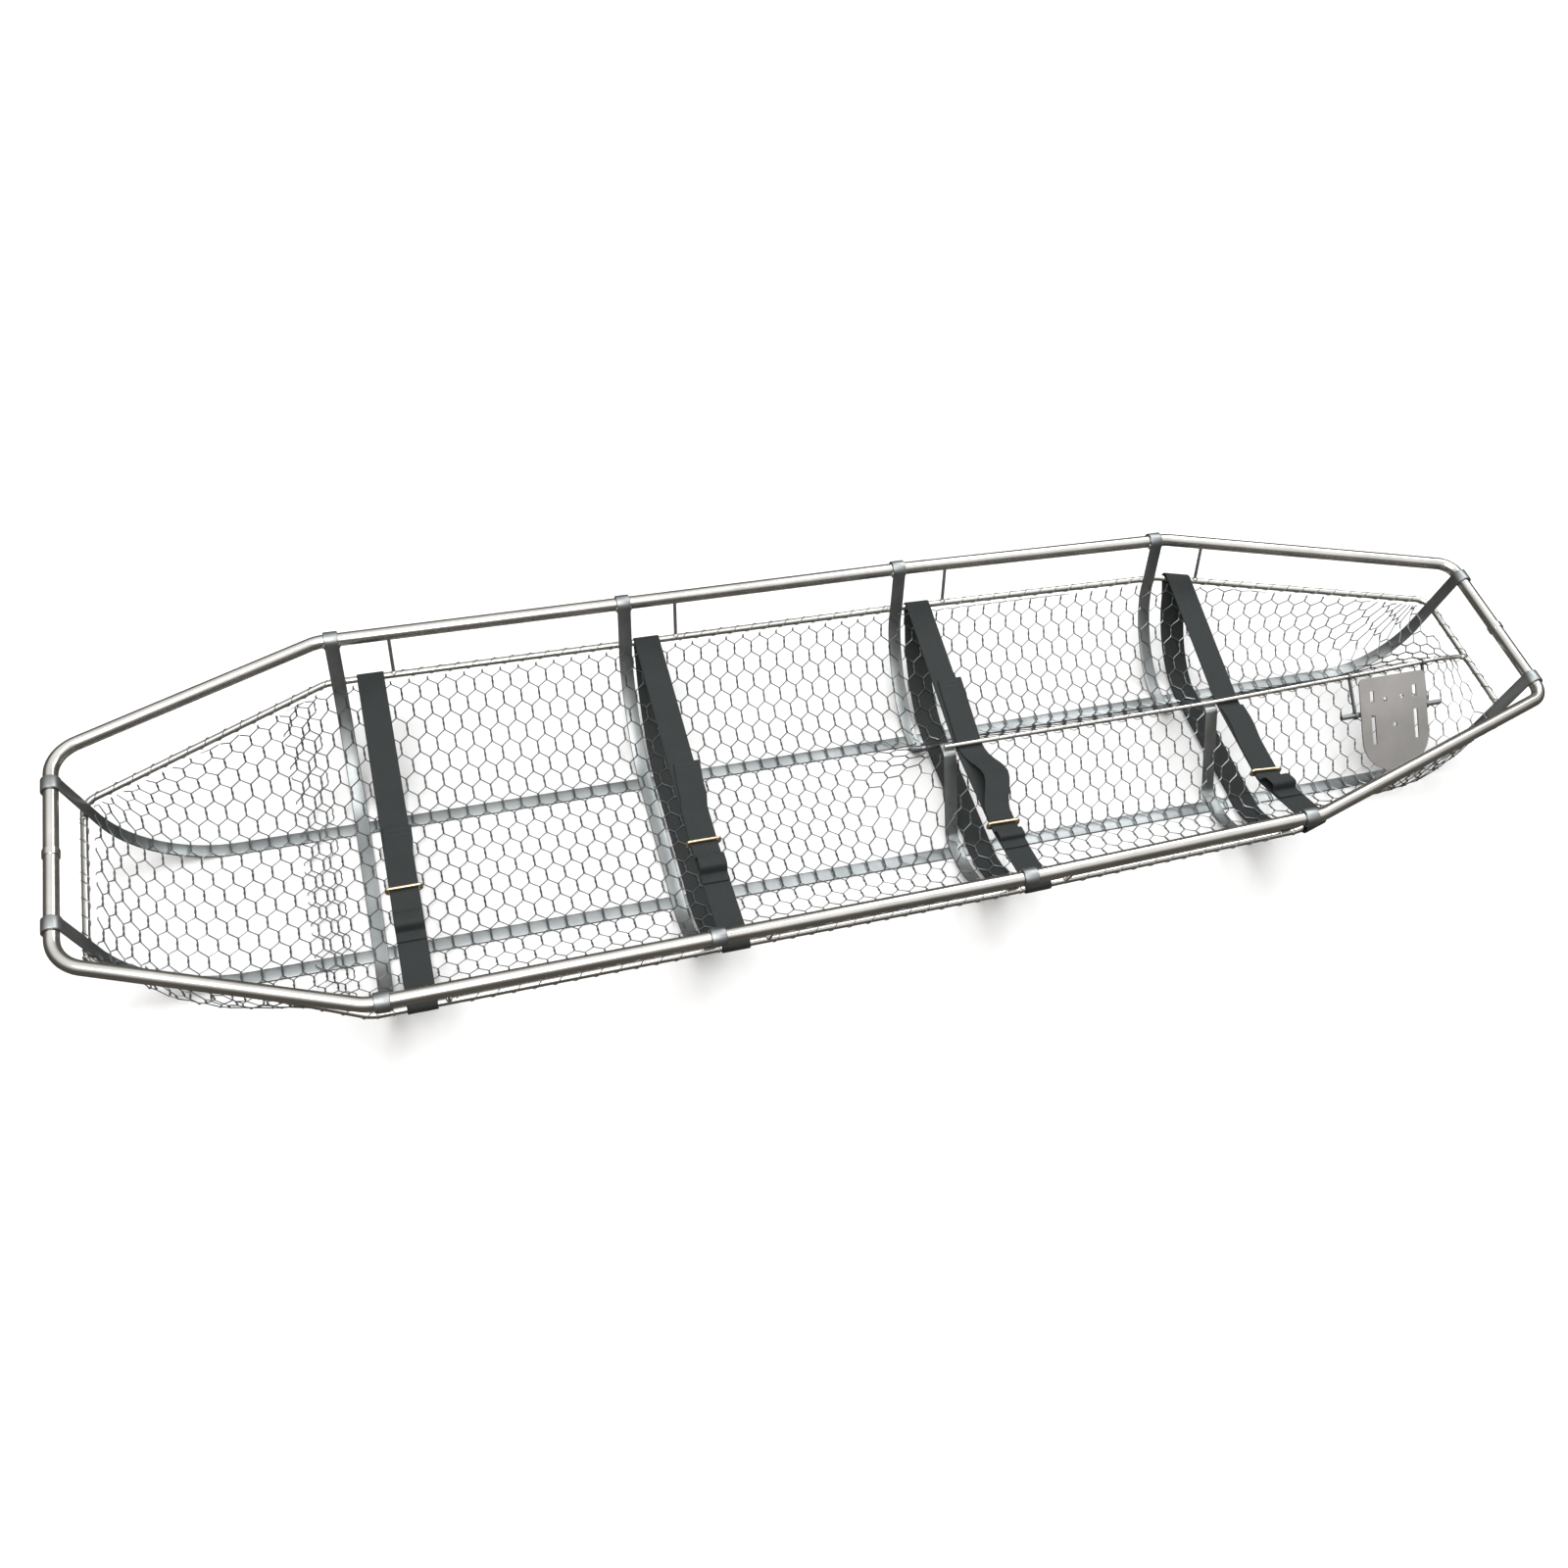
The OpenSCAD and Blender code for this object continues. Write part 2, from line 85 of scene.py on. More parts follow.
# Webbing
WEB_W = 38 * MM
WEB_T = 1.6 * MM
WEB_GAP = 0.7 * MM
WEB_SLACK = 2.4 * MM
STRAP_X = [-641 * MM, -238 * MM, 191 * MM, 632 * MM]
STRAP_DIP = [5 * MM, 6 * MM, 27 * MM, 24 * MM]
PLY_RISE = WEB_T + 0.6 * MM
BUCKLE_Y = [-98 * MM, -104 * MM, -154 * MM, -146 * MM]
BUCKLE_W = 40.5 * MM
TAIL_START = [2 * MM, 34 * MM, 118 * MM, -12 * MM]
# How far each strap leans toward the head end at the point just beyond its buckle
STRAP_LEAN = [0, 3 * MM, 9 * MM, 30 * MM]
LEAN_PAST = 10 * MM
# How far each buckle slides along its strap
BUCKLE_TRAVEL = [50 * MM, 50 * MM, 14 * MM, 50 * MM]

# Finer than part.scad. The bar of a buckle ring is a little thicker than the CAD's flat ring
BUCKLE_BAR = 4.6 * MM
# How far each tail bows off its strap half way along
TAIL_SWAY = [1 * MM, 2 * MM, 15 * MM, 3 * MM]
# How far each tail's free end lies off the strap below it
TAIL_SHIFT = [3 * MM, 8 * MM, 8 * MM, 2 * MM]
# Distance, height and half length of the fold that each tail makes beyond its buckle
FOLD_AT = [52 * MM, 40 * MM, 22 * MM, 27 * MM]
FOLD_RISE = [13 * MM, 14 * MM, 8 * MM, 13 * MM]
FOLD_HALF = [15 * MM, 14 * MM, 9 * MM, 12 * MM]
# Height of the loose arch that strap 3's tail makes between the ridge and its buckle
ARCH_RISE = 14 * MM

# Hexagonal netting: distance between the twists along the basket, and between rows round it
MESH = 26.2 * MM
ROW = 26.9 * MM
TWIST = 18.5 * MM
WIRE_R = 0.85 * MM
LACING_R = 0.6 * MM


# ---------------------------------------------------------------- paths
def unit(v):
    return v / np.linalg.norm(v)


def arc(centre, radius, start, end, steps):
    a = np.radians(np.linspace(start, end, steps + 1))
    return np.asarray(centre) + radius * np.c_[np.cos(a), np.sin(a)]


def round_path(points, radii, steps):
    """The corner points joined by straight lines, with each corner rounded to its radius."""
    points = np.asarray(points, float)
    out = [points[0]]
    for i in range(1, len(points) - 1):
        a, b = unit(points[i] - points[i - 1]), unit(points[i + 1] - points[i])
        turn = math.degrees(math.atan2(a[0] * b[1] - a[1] * b[0], a @ b))
        if radii[i] == 0 or abs(turn) < 0.01:
            out.append(points[i])
            continue
        side = math.copysign(1, turn) * np.array([-a[1], a[0]])
        start = points[i] - a * radii[i] * math.tan(math.radians(abs(turn)) / 2)
        centre = start + side * radii[i]
        first = math.degrees(math.atan2(-side[1], -side[0]))
        out.extend(arc(centre, radii[i], first, first + turn, steps))
    out.append(points[-1])
    return np.array(out)


def spread(path, step):
    """The path with points added so that none are further apart than step."""
    out = [path[0]]
    for a, b in zip(path[:-1], path[1:]):
        n = max(1, math.ceil(np.linalg.norm(b - a) / step))
        out.extend(a + (b - a) * k / n for k in range(1, n + 1))
    return np.array(out)


def length_along(path):
    return np.r_[0, np.cumsum(np.linalg.norm(np.diff(path, axis=0), axis=1))]


def resample(path, count):
    """The same path as count points, evenly spaced."""
    run = length_along(path)
    s = np.linspace(0, run[-1], count)
    return np.c_[np.interp(s, run, path[:, 0]), np.interp(s, run, path[:, 1])]


def mirror(path):
    """The half section's other half, from the middle outwards."""
    return path[::-1] * [-1, 1]


# ---------------------------------------------------------------- shape of the basket
def rail_w(x):
    return np.interp(x, RAIL_PLAN[1:6, 0], RAIL_PLAN[1:6, 1])


def lower_w(x):
    return np.interp(x, LOWER_PLAN[1:6, 0], LOWER_PLAN[1:6, 1])


def ridge_z(x):
    return np.interp(x, RIDGE_LINE[:, 0], RIDGE_LINE[:, 1])


RUNNER_FLOOR = STRIP_T / 2
HEAD_CORNER_X = -RAIL_HALF_LEN + HOOK_R + (RAIL_Z - RUNNER_FLOOR) * math.tan(HEAD_SLANT)
FOOT_CORNER_X = RAIL_HALF_LEN - HOOK_R - (RAIL_Z - RUNNER_FLOOR) * math.tan(FOOT_SLANT)


def end_trim(radius, slant):
    """Length of floor that an end bend takes up before its corner."""
    return radius * math.tan((math.pi / 2 - slant) / 2)


def end_rise(d, radius, slant):
    """How far a runner has risen at the distance d past the start of its end bend."""
    trim = end_trim(radius, slant)
    if d <= 0:
        return 0.0
    if d < trim * (1 + math.sin(slant)):
        return radius - math.sqrt(radius * radius - d * d)
    return (d - trim) / math.tan(slant)


def runner_rise(x):
    """How far the runners have risen off the ground at x."""
    if x < 0:
        past = HEAD_CORNER_X + end_trim(HEAD_BEND_R, HEAD_SLANT) - x
        return end_rise(past, HEAD_BEND_R, HEAD_SLANT)
    past = x - FOOT_CORNER_X + end_trim(FOOT_BEND_R, FOOT_SLANT)
    return end_rise(past, FOOT_BEND_R, FOOT_SLANT)


def half_floor(x):
    return min(FLOOR_HALF, FLOOR_SHARE * float(lower_w(x)))


def side_curve(x, inset, floor_z, steps):
    """The far side from beside the lower rail down to the edge of the flat floor, as (y, z)."""
    blend = min(1, max(0, (abs(x) - FULLER_FROM) / FULLER_OVER))
    q = 2 / (SIDE_FULLNESS + (END_FULLNESS - SIDE_FULLNESS) * blend ** 2)
    a = np.linspace(0, math.pi / 2, steps + 1)
    w, f, top = lower_w(x) - STRIP_STAND - inset, half_floor(x), LOWER_Z - 2 * MM
    return np.c_[f + (w - f) * np.cos(a) ** q, top - (top - floor_z) * np.sin(a) ** q]


# ---------------------------------------------------------------- meshes
# Edges that turn by more than this many degrees stay sharp
SHARP_ANGLE = 55


def new_object(name, verts, faces, material, body, replaces=(), smooth=True, uv=None):
    mesh = bpy.data.meshes.new(name)
    mesh.from_pydata([tuple(v) for v in verts], [], faces)
    mesh.polygons.foreach_set("use_smooth", [smooth] * len(mesh.polygons))
    if uv is not None:
        layer = mesh.uv_layers.new(name="UVMap")
        loops = np.empty(len(mesh.loops), dtype=np.int64)
        mesh.loops.foreach_get("vertex_index", loops)
        layer.data.foreach_set("uv", np.asarray(uv, float)[loops].ravel())
    mesh.materials.append(material)
    mesh.update()
    if smooth:
        mesh.set_sharp_from_angle(angle=math.radians(SHARP_ANGLE))
    obj = bpy.data.objects.new(name, mesh)
    bpy.context.scene.collection.objects.link(obj)
    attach(obj, body)
    if replaces:
        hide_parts(*replaces)
    return obj


class Shape:
    """Vertices, faces and texture coordinates collected from several sweeps."""

    def __init__(self):
        self.verts, self.faces, self.uv = [], [], []

    def add(self, verts, faces, uv):
        base = len(self.verts)
        self.verts.extend(verts)
        self.uv.extend(uv)
        self.faces.extend([tuple(base + i for i in f) for f in faces])

    def sweep(self, path, sides, normals, section, closed=False):
        """Carries section, a closed loop of (along side, along normal), down the path."""
        n, m = len(path), len(section)
        rings = (path[:, None, :] + section[None, :, 0, None] * sides[:, None, :]
                 + section[None, :, 1, None] * normals[:, None, :])
        run = length_along(path)
        round_len = length_along(np.vstack([section, section[:1]]))[:-1]
        uv = [(u, v) for u in run for v in round_len]
        faces = []
        for i in range(n if closed else n - 1):
            a, b = i * m, ((i + 1) % n) * m
            faces.extend((a + k, a + (k + 1) % m, b + (k + 1) % m, b + k) for k in range(m))
        if not closed:
            faces.append(tuple(range(m - 1, -1, -1)))
            faces.append(tuple((n - 1) * m + k for k in range(m)))
        self.add(rings.reshape(-1, 3).tolist(), faces, uv)

    def tube(self, path, radius, count=12, closed=False, up=(0, 0, 1)):
        """A round rod along a path of points in space."""
        path = np.asarray(path, float)
        if closed:
            tangent = np.roll(path, -1, 0) - np.roll(path, 1, 0)
        else:
            tangent = np.gradient(path, axis=0)
        tangent /= np.linalg.norm(tangent, axis=1)[:, None]
        side = np.cross(tangent, np.asarray(up, float))
        side /= np.linalg.norm(side, axis=1)[:, None]
        normal = np.cross(side, tangent)
        a = np.linspace(0, 2 * math.pi, count, endpoint=False)
        self.sweep(path, side, normal, radius * np.c_[np.cos(a), np.sin(a)], closed)

    def ball(self, centre, radius, flat=(1, 1, 1), rings=6, count=10):
        """A small rounded blob, such as a weld."""
        verts, faces, uv = [], [], []
        for i in range(rings + 1):
            lat = math.pi * i / rings - math.pi / 2
            for k in range(count):
                lon = 2 * math.pi * k / count
                p = np.array([math.cos(lat) * math.cos(lon), math.cos(lat) * math.sin(lon), math.sin(lat)])
                verts.append((np.asarray(centre) + radius * p * flat).tolist())
                uv.append((lon * radius, lat * radius))
        for i in range(rings):
            for k in range(count):
                a, b = i * count + k, i * count + (k + 1) % count
                faces.append((a, b, b + count, a + count))
        self.add(verts, faces, uv)

    def make(self, name, material, body, replaces=(), smooth=True):
        return new_object(name, self.verts, self.faces, material, body, replaces, smooth, self.uv)


def strip_section(width, thickness):
    """A flat bar's outline with rolled edges."""
    w, t = width / 2, thickness / 2
    edge = [(math.cos(a) * t * 0.8, math.sin(a) * t) for a in np.radians(np.linspace(-90, 90, 7))]
    right = [(w - t * 0.8 + p, q) for p, q in edge]
    left = [(-(w - t * 0.8) - p, -q) for p, q in edge]
    return np.array(right + left)


def flat_bar(shape, path, plane, offset, width, thickness):
    """A flat bar bent along path, which lies in the plane 'yz' at x=offset or 'xz' at y=offset."""
    t = np.gradient(path, axis=0)
    t /= np.linalg.norm(t, axis=1)[:, None]
    zero, full = np.zeros(len(path)), np.full(len(path), offset)
    if plane == "yz":
        pts, side = np.c_[full, path], np.tile([1.0, 0, 0], (len(path), 1))
        normal = np.c_[zero, -t[:, 1], t[:, 0]]
    else:
        pts, side = np.c_[path[:, 0], full, path[:, 1]], np.tile([0.0, 1, 0], (len(path), 1))
        normal = np.c_[-t[:, 1], zero, t[:, 0]]
    shape.sweep(pts, side, normal, strip_section(width, thickness))


# ---------------------------------------------------------------- materials
def node_material(name):
    mat = bpy.data.materials.new(name)
    mat.use_nodes = True
    nodes, links = mat.node_tree.nodes, mat.node_tree.links
    return mat, nodes, links, nodes["Principled BSDF"]


def noise(nodes, links, vector, scale, detail=4.0):
    tex = nodes.new("ShaderNodeTexNoise")
    tex.inputs["Scale"].default_value = scale
    tex.inputs["Detail"].default_value = detail
    links.new(vector, tex.inputs["Vector"])
    return tex.outputs["Fac"]


def ramp(nodes, links, factor, low, high, start=0.3, end=0.7):
    node = nodes.new("ShaderNodeValToRGB")
    node.color_ramp.elements[0].position = start
    node.color_ramp.elements[0].color = (*low, 1)
    node.color_ramp.elements[1].position = end
    node.color_ramp.elements[1].color = (*high, 1)
    links.new(factor, node.inputs["Fac"])
    return node.outputs["Color"]


def spread_value(nodes, links, factor, low, high):
    node = nodes.new("ShaderNodeMapRange")
    node.inputs["To Min"].default_value = low
    node.inputs["To Max"].default_value = high
    links.new(factor, node.inputs["Value"])
    return node.outputs["Result"]


def bump(nodes, links, height, strength, distance, shader):
    node = nodes.new("ShaderNodeBump")
    node.inputs["Strength"].default_value = strength
    node.inputs["Distance"].default_value = distance
    links.new(height, node.inputs["Height"])
    links.new(node.outputs["Normal"], shader.inputs["Normal"])


def stretched(nodes, links, source, scale):
    node = nodes.new("ShaderNodeMapping")
    node.inputs["Scale"].default_value = scale
    links.new(source, node.inputs["Vector"])
    return node.outputs["Vector"]


def metal(name, low, high, rough_low, rough_high, grain=(1, 1, 1), *, grain_scale, grain_depth):
    """Bare metal: patchy tone, uneven polish and a fine grain."""
    mat, nodes, links, shader = node_material(name)
    coord = nodes.new("ShaderNodeTexCoord").outputs["Object"]
    patches = noise(nodes, links, coord, 14.0, 6.0)
    links.new(ramp(nodes, links, patches, low, high), shader.inputs["Base Color"])
    shader.inputs["Metallic"].default_value = 1.0
    smudges = noise(nodes, links, coord, 45.0, 5.0)
    links.new(spread_value(nodes, links, smudges, rough_low, rough_high), shader.inputs["Roughness"])
    fine = noise(nodes, links, stretched(nodes, links, coord, grain), grain_scale, 3.0)
    bump(nodes, links, fine, grain_depth, 0.0002, shader)
    return mat


def thread():
    """Waxed black thread, a little lighter than the webbing it is sewn through."""
    mat, nodes, links, shader = node_material("thread")
    coord = nodes.new("ShaderNodeTexCoord").outputs["Object"]
    strands = noise(nodes, links, coord, 1800.0, 2.0)
    colour = ramp(nodes, links, strands, (0.02, 0.024, 0.024), (0.05, 0.056, 0.055))
    links.new(colour, shader.inputs["Base Color"])
    shader.inputs["Roughness"].default_value = 0.5
    bump(nodes, links, strands, 0.4, 0.0002, shader)
    return mat


def webbing():
    """Black polyester webbing: ribs across it, woven in a twill, with a faint sheen."""
    mat, nodes, links, shader = node_material("webbing")
    uv = nodes.new("ShaderNodeTexCoord").outputs["UV"]

    def wave(direction, scale, distortion):
        tex = nodes.new("ShaderNodeTexWave")
        tex.bands_direction = direction
        tex.inputs["Scale"].default_value = scale
        tex.inputs["Distortion"].default_value = distortion
        links.new(uv, tex.inputs["Vector"])
        return tex.outputs["Fac"]

    weft, warp, twill = wave("X", 210, 0.4), wave("Y", 150, 0.4), wave("DIAGONAL", 120, 0.6)
    mix = nodes.new("ShaderNodeMath")
    mix.operation = "MULTIPLY"
    links.new(weft, mix.inputs[0])
    links.new(warp, mix.inputs[1])
    add = nodes.new("ShaderNodeMath")
    add.operation = "MULTIPLY_ADD"
    add.inputs[1].default_value = 0.5
    links.new(twill, add.inputs[0])
    links.new(mix.outputs[0], add.inputs[2])
    coord = nodes.new("ShaderNodeTexCoord").outputs["Object"]
    dust = noise(nodes, links, coord, 30.0, 6.0)
    tone = nodes.new("ShaderNodeMix")
    tone.data_type = "RGBA"
    tone.blend_type = "MULTIPLY"
    tone.inputs["Factor"].default_value = 0.55
    links.new(ramp(nodes, links, dust, (0.0065, 0.0100, 0.0102), (0.0125, 0.0175, 0.0175)), tone.inputs["A"])
    links.new(ramp(nodes, links, add.outputs[0], (0.35, 0.35, 0.35), (1, 1, 1), 0.1, 0.8), tone.inputs["B"])
    links.new(tone.outputs["Result"], shader.inputs["Base Color"])
    links.new(spread_value(nodes, links, dust, 0.55, 0.75), shader.inputs["Roughness"])
    shader.inputs["Sheen Weight"].default_value = 0.06
    shader.inputs["Sheen Roughness"].default_value = 0.45
    shader.inputs["Sheen Tint"].default_value = (0.75, 0.85, 0.85, 1)
    bump(nodes, links, add.outputs[0], 0.7, 0.0005, shader)
    return mat


POLISHED = metal("polished_steel", (0.56, 0.555, 0.53), (0.74, 0.72, 0.685), 0.12, 0.24,
                 grain_scale=260, grain_depth=0.12)
ROLLED = metal("rolled_strip", (0.25, 0.27, 0.275), (0.40, 0.42, 0.42), 0.34, 0.52,
               grain_scale=500, grain_depth=0.35)
GALVANISED = metal("galvanised_wire", (0.22, 0.235, 0.24), (0.40, 0.42, 0.43), 0.30, 0.45,
                   grain_scale=900, grain_depth=0.3)
PLATE = metal("foot_plate_metal", (0.50, 0.49, 0.48), (0.62, 0.605, 0.59), 0.45, 0.62,
              grain=(1, 12, 12), grain_scale=120, grain_depth=0.35)
BRASS = metal("brass", (0.70, 0.52, 0.32), (0.88, 0.72, 0.50), 0.16, 0.30,
              grain_scale=500, grain_depth=0.2)
WELD = metal("weld", (0.45, 0.45, 0.44), (0.70, 0.69, 0.66), 0.22, 0.42,
             grain_scale=700, grain_depth=0.6)
WEBBING = webbing()
THREAD = thread()


# ---------------------------------------------------------------- rails, rods, ribs and runners
RAIL_PATH = round_path(RAIL_PLAN, RAIL_BENDS, 16)
LOWER_PATH = round_path(LOWER_PLAN, LOWER_BENDS, 16)


def plan_rod(name, path, z, radius, side, count, node):
    shape = Shape()
    path = spread(path, 60 * MM) * [1, side]
    shape.tube(np.c_[path, np.full(len(path), z)], radius, count)
    shape.make(name, POLISHED, "frame", [node])


def rails():
    for side, word in ((1, "far"), (-1, "near")):
        plan_rod(f"top_rail_{word}", RAIL_PATH, RAIL_Z, RAIL_R, side, 32, f"rail_{word}")
        plan_rod(f"second_rail_{word}", LOWER_PATH, LOWER_Z, LOWER_R, side, 20, f"lower_rail_{word}")


FIRST_LEG_RIB = 2


def hook_and_side(x):
    """Half a rib: hooked over the top rail and down the side to the floor."""
    hook = arc([float(rail_w(x)), RAIL_Z], HOOK_R, -25, 180, 28)
    return np.vstack([hook, side_curve(x, 0, STRIP_T * 1.5, 40)])


def ribs():
    """Four ribs; the two at the legs rise to the ridge in the middle."""
    for i, x in enumerate(RIB_X):
        half = hook_and_side(x)
        if i >= FIRST_LEG_RIB:
            trough = 92 * MM
            top = float(ridge_z(x)) - RIDGE_R - STRIP_T / 2 - 0.2 * MM
            floor = STRIP_T * 1.5
            corners = [[trough + 14 * MM, floor], [trough - 10 * MM, floor], [10 * MM, top], [0, top]]
            half = np.vstack([half, round_path(corners, [0, 14 * MM, 8 * MM, 0], 10)])
        near_half = mirror(half)[1:] if i >= FIRST_LEG_RIB else mirror(half)
        path = np.vstack([half, near_half])
        shape = Shape()
        flat_bar(shape, spread(path, 25 * MM), "yz", x, STRIP_W, STRIP_T)
        shape.make(f"rib_strip_{i + 1}", ROLLED, "frame", [f"rib_{i + 1}"])


def runners():
    head_x, foot_x = -RAIL_HALF_LEN + HOOK_R, RAIL_HALF_LEN - HOOK_R
    middle = round_path(
        [[head_x, RAIL_Z - 2 * MM], [HEAD_CORNER_X, RUNNER_FLOOR], [FOOT_CORNER_X, RUNNER_FLOOR],
         [foot_x, RAIL_Z - 2 * MM]], [0, HEAD_BEND_R, FOOT_BEND_R, 0], 30)
    path = np.vstack([
        arc([-RAIL_HALF_LEN, RAIL_Z], HOOK_R, 205, 0, 28), middle,
        arc([RAIL_HALF_LEN, RAIL_Z], HOOK_R, 180, -25, 28)])
    for side, word in ((1, "far"), (-1, "near")):
        shape = Shape()
        flat_bar(shape, spread(path, 40 * MM), "xz", side * RUNNER_Y, STRIP_W, STRIP_T)
        shape.make(f"runner_strip_{word}", ROLLED, "frame", [f"runner_{word}"])


def ridge():
    shape = Shape()
    line = spread(round_path(RIDGE_LINE, [0, 0.4, 0.3, 0.1, 0], 8), 40 * MM)
    shape.tube(np.c_[line[:, 0], np.zeros(len(line)), line[:, 1]], RIDGE_R, 16, up=(0, 1, 0))
    shape.make("divider_ridge", POLISHED, "frame", ["ridge_rod"])


def welds():
    """Small fillets where the strips and keeper rods meet the two rails."""
    shape = Shape()
    half = STRIP_W / 2
    for x in RIB_X:
        for side in (1, -1):
            for dx in (-half, half):
                shape.ball([x + dx, side * float(lower_w(x)), LOWER_Z], 4.5 * MM, (0.75, 1.25, 1.15))
                shape.ball([x + dx, side * (float(rail_w(x)) - RAIL_R), RAIL_Z - 2 * MM], 3.2 * MM,
                           (0.7, 0.8, 1.6))
            keeper = x + KEEPER_OFFSET
            shape.ball([keeper, side * float(rail_w(keeper)), RAIL_Z - RAIL_R], 3.4 * MM, (1.3, 1.3, 0.7))
            shape.ball([keeper, side * float(lower_w(keeper)), LOWER_Z + LOWER_R], 3.4 * MM,
                       (1.3, 1.3, 0.7))
    for end_x in (LOWER_PLAN[0, 0], LOWER_PLAN[-1, 0]):
        for y in (-RUNNER_Y, RUNNER_Y):
            for dy in (-half, half):
                shape.ball([end_x, y + dy, LOWER_Z], 4.5 * MM, (1.25, 0.75, 1.15))
    shape.ball([RIDGE_LINE[-1, 0] + 6 * MM, 0, RIDGE_LINE[-1, 1] - 2 * MM], 5 * MM, (1.6, 1, 1))
    shape.make("welds", WELD, "frame")


# ---------------------------------------------------------------- netting
NET_FLOOR = STRIP_T * 1.5 + 2 * MM
NET_INSET = 2.9 * MM
RIDGE_DROP = 10 * MM
END_CLEAR = 3.5 * MM
HUMP_FOOT = 96 * MM


def net_floor(x):
    return NET_FLOOR + runner_rise(x + math.copysign(END_CLEAR, x))


def net_section(x, lift):
    """Half of the netting's section at x, from the middle out to the lower rail, as (y, z)."""
    floor = net_floor(x)
    side = side_curve(x, NET_INSET + lift, floor, 40)[::-1]
    side[:, 1] += lift * np.linspace(1, 0, len(side))
    share = min(1, max(0, (x - 0.03) / (RIB_X[2] - 0.03)))
    foot = min(HUMP_FOOT, half_floor(x) - 4 * MM)
    crest = floor + (float(ridge_z(x)) - RIDGE_DROP - floor) * share
    hump = round_path([[0, crest], [2 * MM, crest], [foot, floor + lift], [half_floor(x), floor + lift]],
                      [0, 3 * MM, 12 * MM, 0], 5)
    return np.vstack([hump[:-1], side])


class NetPanel:
    """One piece of netting, addressed by length along the floor and length out from the middle."""

    STEP = 3 * MM

    def __init__(self, x_from, x_to, lift=0.0):
        self.x = np.arange(x_from, x_to, self.STEP)
        middle = np.array([[x, net_floor(x)] for x in self.x])
        self.run = length_along(middle)
        sections = [net_section(x, lift) for x in self.x]
        lengths = [length_along(s) for s in sections]
        self.reach = np.array([r[-1] for r in lengths])
        self.s = np.arange(0, self.reach.max() + self.STEP, self.STEP)
        self.y = np.array([np.interp(self.s, r, s[:, 0]) for r, s in zip(lengths, sections)])
        self.z = np.array([np.interp(self.s, r, s[:, 1]) for r, s in zip(lengths, sections)])
        # When set, rows are stretched so that this reach meets every section's edge
        self.fit_to = None

    def place(self, run, s):
        """Points in space for lengths along (run) and out from the middle (s, either side)."""
        x = np.interp(run, self.run, self.x)
        i = np.clip((x - self.x[0]) / self.STEP, 0, len(self.x) - 1.001)
        i0, fi = i.astype(int), i % 1
        reach = self.reach[i0] * (1 - fi) + self.reach[i0 + 1] * fi
        if self.fit_to:
            s = s * reach / self.fit_to
        beyond = np.abs(s) > reach
        out = np.clip(np.abs(s), 0, reach)
        j = np.clip(out / self.STEP, 0, len(self.s) - 1.001)
        j0, fj = j.astype(int), j % 1

        def pick(table):
            low = table[i0, j0] * (1 - fj) + table[i0, j0 + 1] * fj
            high = table[i0 + 1, j0] * (1 - fj) + table[i0 + 1, j0 + 1] * fj
            return low * (1 - fi) + high * fi

        return np.c_[x, np.sign(s + 1e-9) * pick(self.y), pick(self.z)], beyond

    def normals(self, run, s):
        d = 2 * MM
        a, _ = self.place(run + d, s)
        b, _ = self.place(run - d, s)
        c, _ = self.place(run, s + d)
        e, _ = self.place(run, s - d)
        n = np.cross(a - b, c - e)
        n[:, 2] = np.where(np.linalg.norm(n, axis=1) < 1e-12, 1, n[:, 2])
        n /= np.linalg.norm(n, axis=1)[:, None]
        return n

    def weave(self, name, replaces):
        """Wires that run round the basket, each twisted with one neighbour and then the other."""
        shape = Shape()
        rows = int(self.reach.max() / ROW) + 2
        twist_steps = 6
        t = np.linspace(-0.5, 0.5, twist_steps + 1)
        columns = int(self.run[-1] / (MESH / 2))
        for j in range(columns + 1):
            run, s, bulge = [], [], []
            for r in range(-rows, rows + 1):
                right = (j + r) % 2 == 0
                centre = (j if right else j + 1) * MESH / 2
                sign = 1 if right else -1
                angle = 2 * math.pi * (t + 0.5)
                run.extend(centre + sign * WIRE_R * np.cos(angle))
                bulge.extend(sign * WIRE_R * np.sin(angle))
                s.extend(r * ROW + t * TWIST)
            run, s, bulge = np.array(run), np.array(s), np.array(bulge)
            inside = (run > 0) & (run < self.run[-1])
            if inside.sum() < 4:
                continue
            run = np.clip(run, 0, self.run[-1])
            points, beyond = self.place(run, s)
            points = points + self.normals(run, s) * bulge[:, None]
            keep = np.flatnonzero(~beyond & inside)
            if len(keep) < 4:
                continue
            breaks = np.flatnonzero(np.diff(keep) > 1)
            for chunk in np.split(keep, breaks + 1):
                if len(chunk) < 3:
                    continue
                first = max(chunk[0] - 1, 0) if inside[max(chunk[0] - 1, 0)] else chunk[0]
                last = chunk[-1] + 1
                last = last if last < len(points) and inside[last] else chunk[-1]
                shape.tube(points[first:last + 1], WIRE_R, 4, up=(1, 0.02, 0.03))
        shape.make(name, GALVANISED, "frame", replaces)


def netting():
    """Three pieces. The head's overlaps the body's, and the body's rows all reach its edges."""
    head = NetPanel(-1.0165, -0.722, lift=1.6 * MM)
    head.weave("netting_head", ["net_head"])
    body = NetPanel(-0.772, RIB_X[2] + 0.004)
    body.fit_to = float(body.reach[len(body.reach) // 3])
    body.weave("netting_body", ["net_bay_1", "net_bay_2"])
    foot = NetPanel(RIB_X[2] + 0.002, 1.0205)
    foot.weave("netting_foot", ["net_bay_3", "net_foot"])


